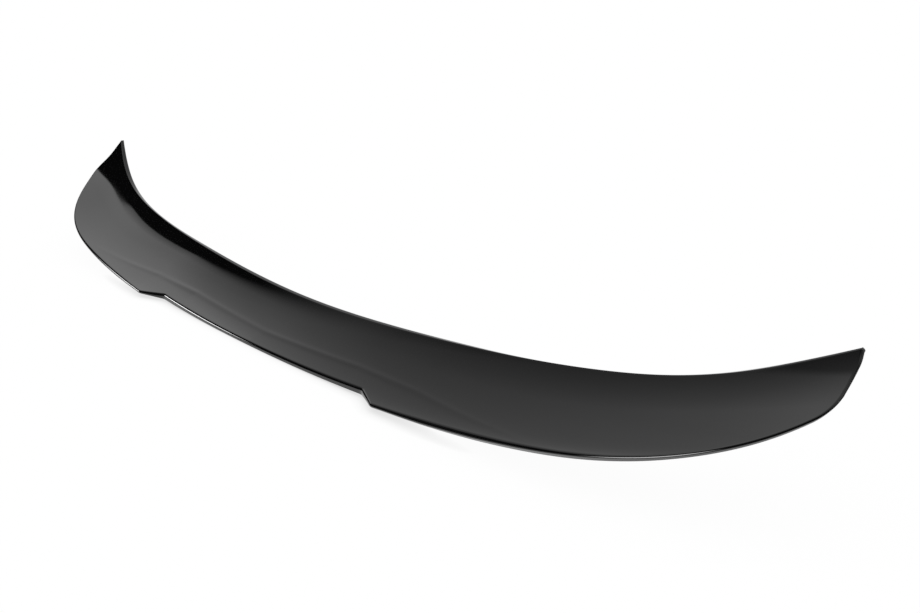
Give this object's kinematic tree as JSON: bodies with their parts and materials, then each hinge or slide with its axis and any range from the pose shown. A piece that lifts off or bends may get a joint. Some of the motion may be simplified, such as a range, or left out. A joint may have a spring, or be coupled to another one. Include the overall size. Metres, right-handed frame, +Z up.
{
  "type": "car rear spoiler",
  "caption": "Moulded car rear spoiler for a boot lid, with a concave top, a raised lip, upswept ends, a shallow notch in the front edge and an open underside.",
  "frame": {"origin": "on the floor the part rests on, under the middle of its bounding box", "axes": "+X along the span, +Y from the front edge back to the lip, +Z up"},
  "size_m": [1.188, 0.1487, 0.119],
  "materials": {
    "gloss_black": "gloss black"
  },
  "bodies": {
    "root": {"spoiler_shell": "gloss_black"}
  },
  "joints": []
}
